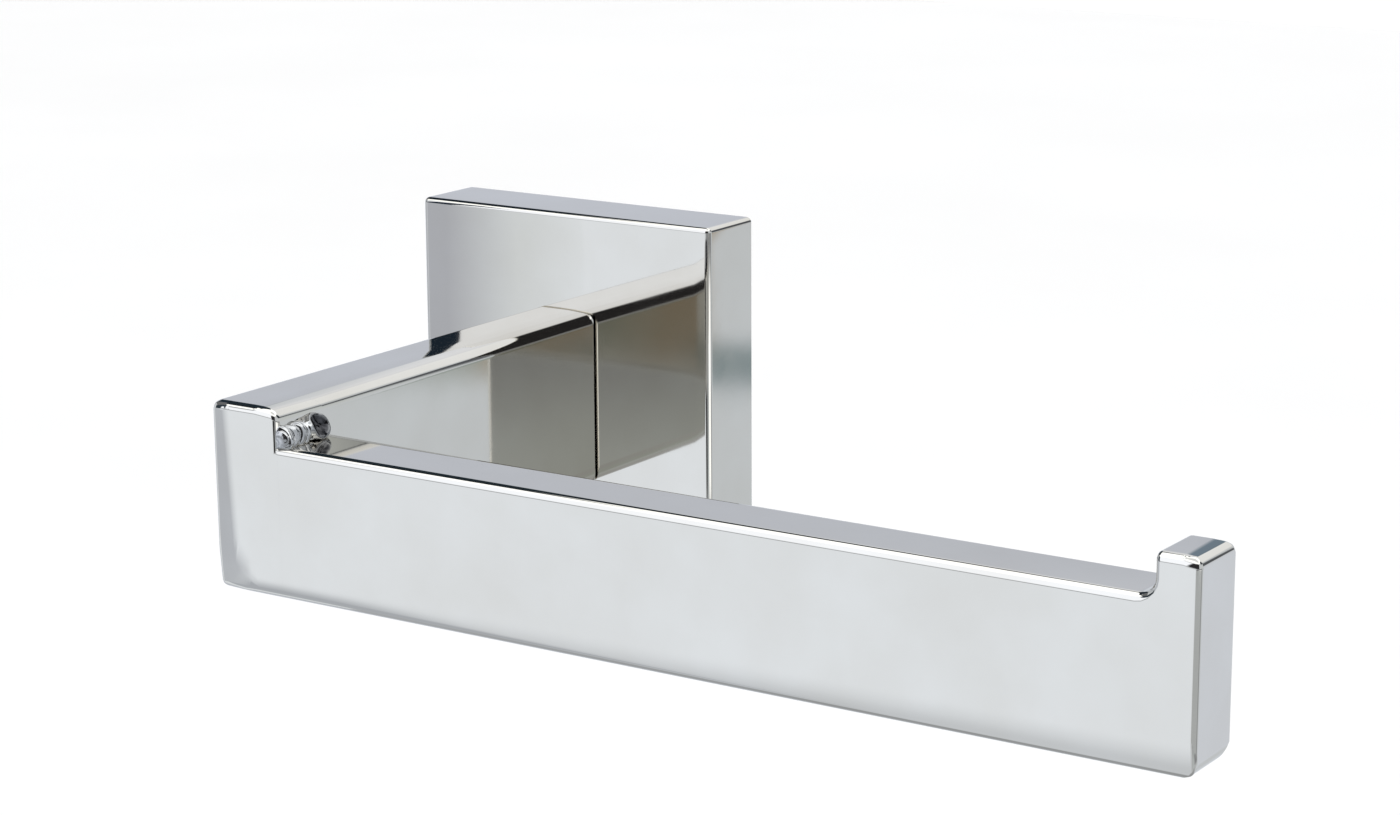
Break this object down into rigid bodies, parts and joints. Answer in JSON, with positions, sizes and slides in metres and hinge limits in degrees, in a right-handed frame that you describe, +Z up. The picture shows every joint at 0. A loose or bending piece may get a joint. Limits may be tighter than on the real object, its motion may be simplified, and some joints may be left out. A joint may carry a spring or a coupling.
{
  "type": "toilet paper holder",
  "caption": "Wall-mounted open-arm toilet paper holder with a square rose, a flat arm and a roll bar ending in a raised lip.",
  "frame": {"origin": "middle of the wall bracket's back, on the wall", "axes": "+X along the roll bar towards its free end, +Y into the wall, +Z up"},
  "size_m": [0.1638, 0.1119, 0.052],
  "materials": {
    "polished_steel": "mirror-polished stainless steel",
    "weld_bead": "lightly polished weld bead",
    "zinc_plate": "zinc-plated sheet",
    "screw_steel": "plain steel",
    "black_steel": "black oxide",
    "plug_plastic": "moulded"
  },
  "bodies": {
    "holder": {"rose_cover": "polished_steel", "arm": "polished_steel", "roll_bar": "polished_steel", "corner_weld": "weld_bead", "wall_bracket": "zinc_plate", "grub_screw_boss": "screw_steel", "arm_screw_upper": "black_steel", "arm_screw_lower": "black_steel", "arm_washer_upper": "screw_steel", "arm_washer_lower": "screw_steel", "wall_screw_upper": "screw_steel", "wall_screw_lower": "screw_steel", "wall_plug_upper": "plug_plastic", "wall_plug_lower": "plug_plastic"},
    "grub_screw": {"grub_screw": "black_steel"}
  },
  "joints": [
    {"name": "grub_screw_out", "type": "slide", "parent": "holder", "child": "grub_screw", "axis": [0, 0, -1], "range_m": [0, 0.003]}
  ]
}
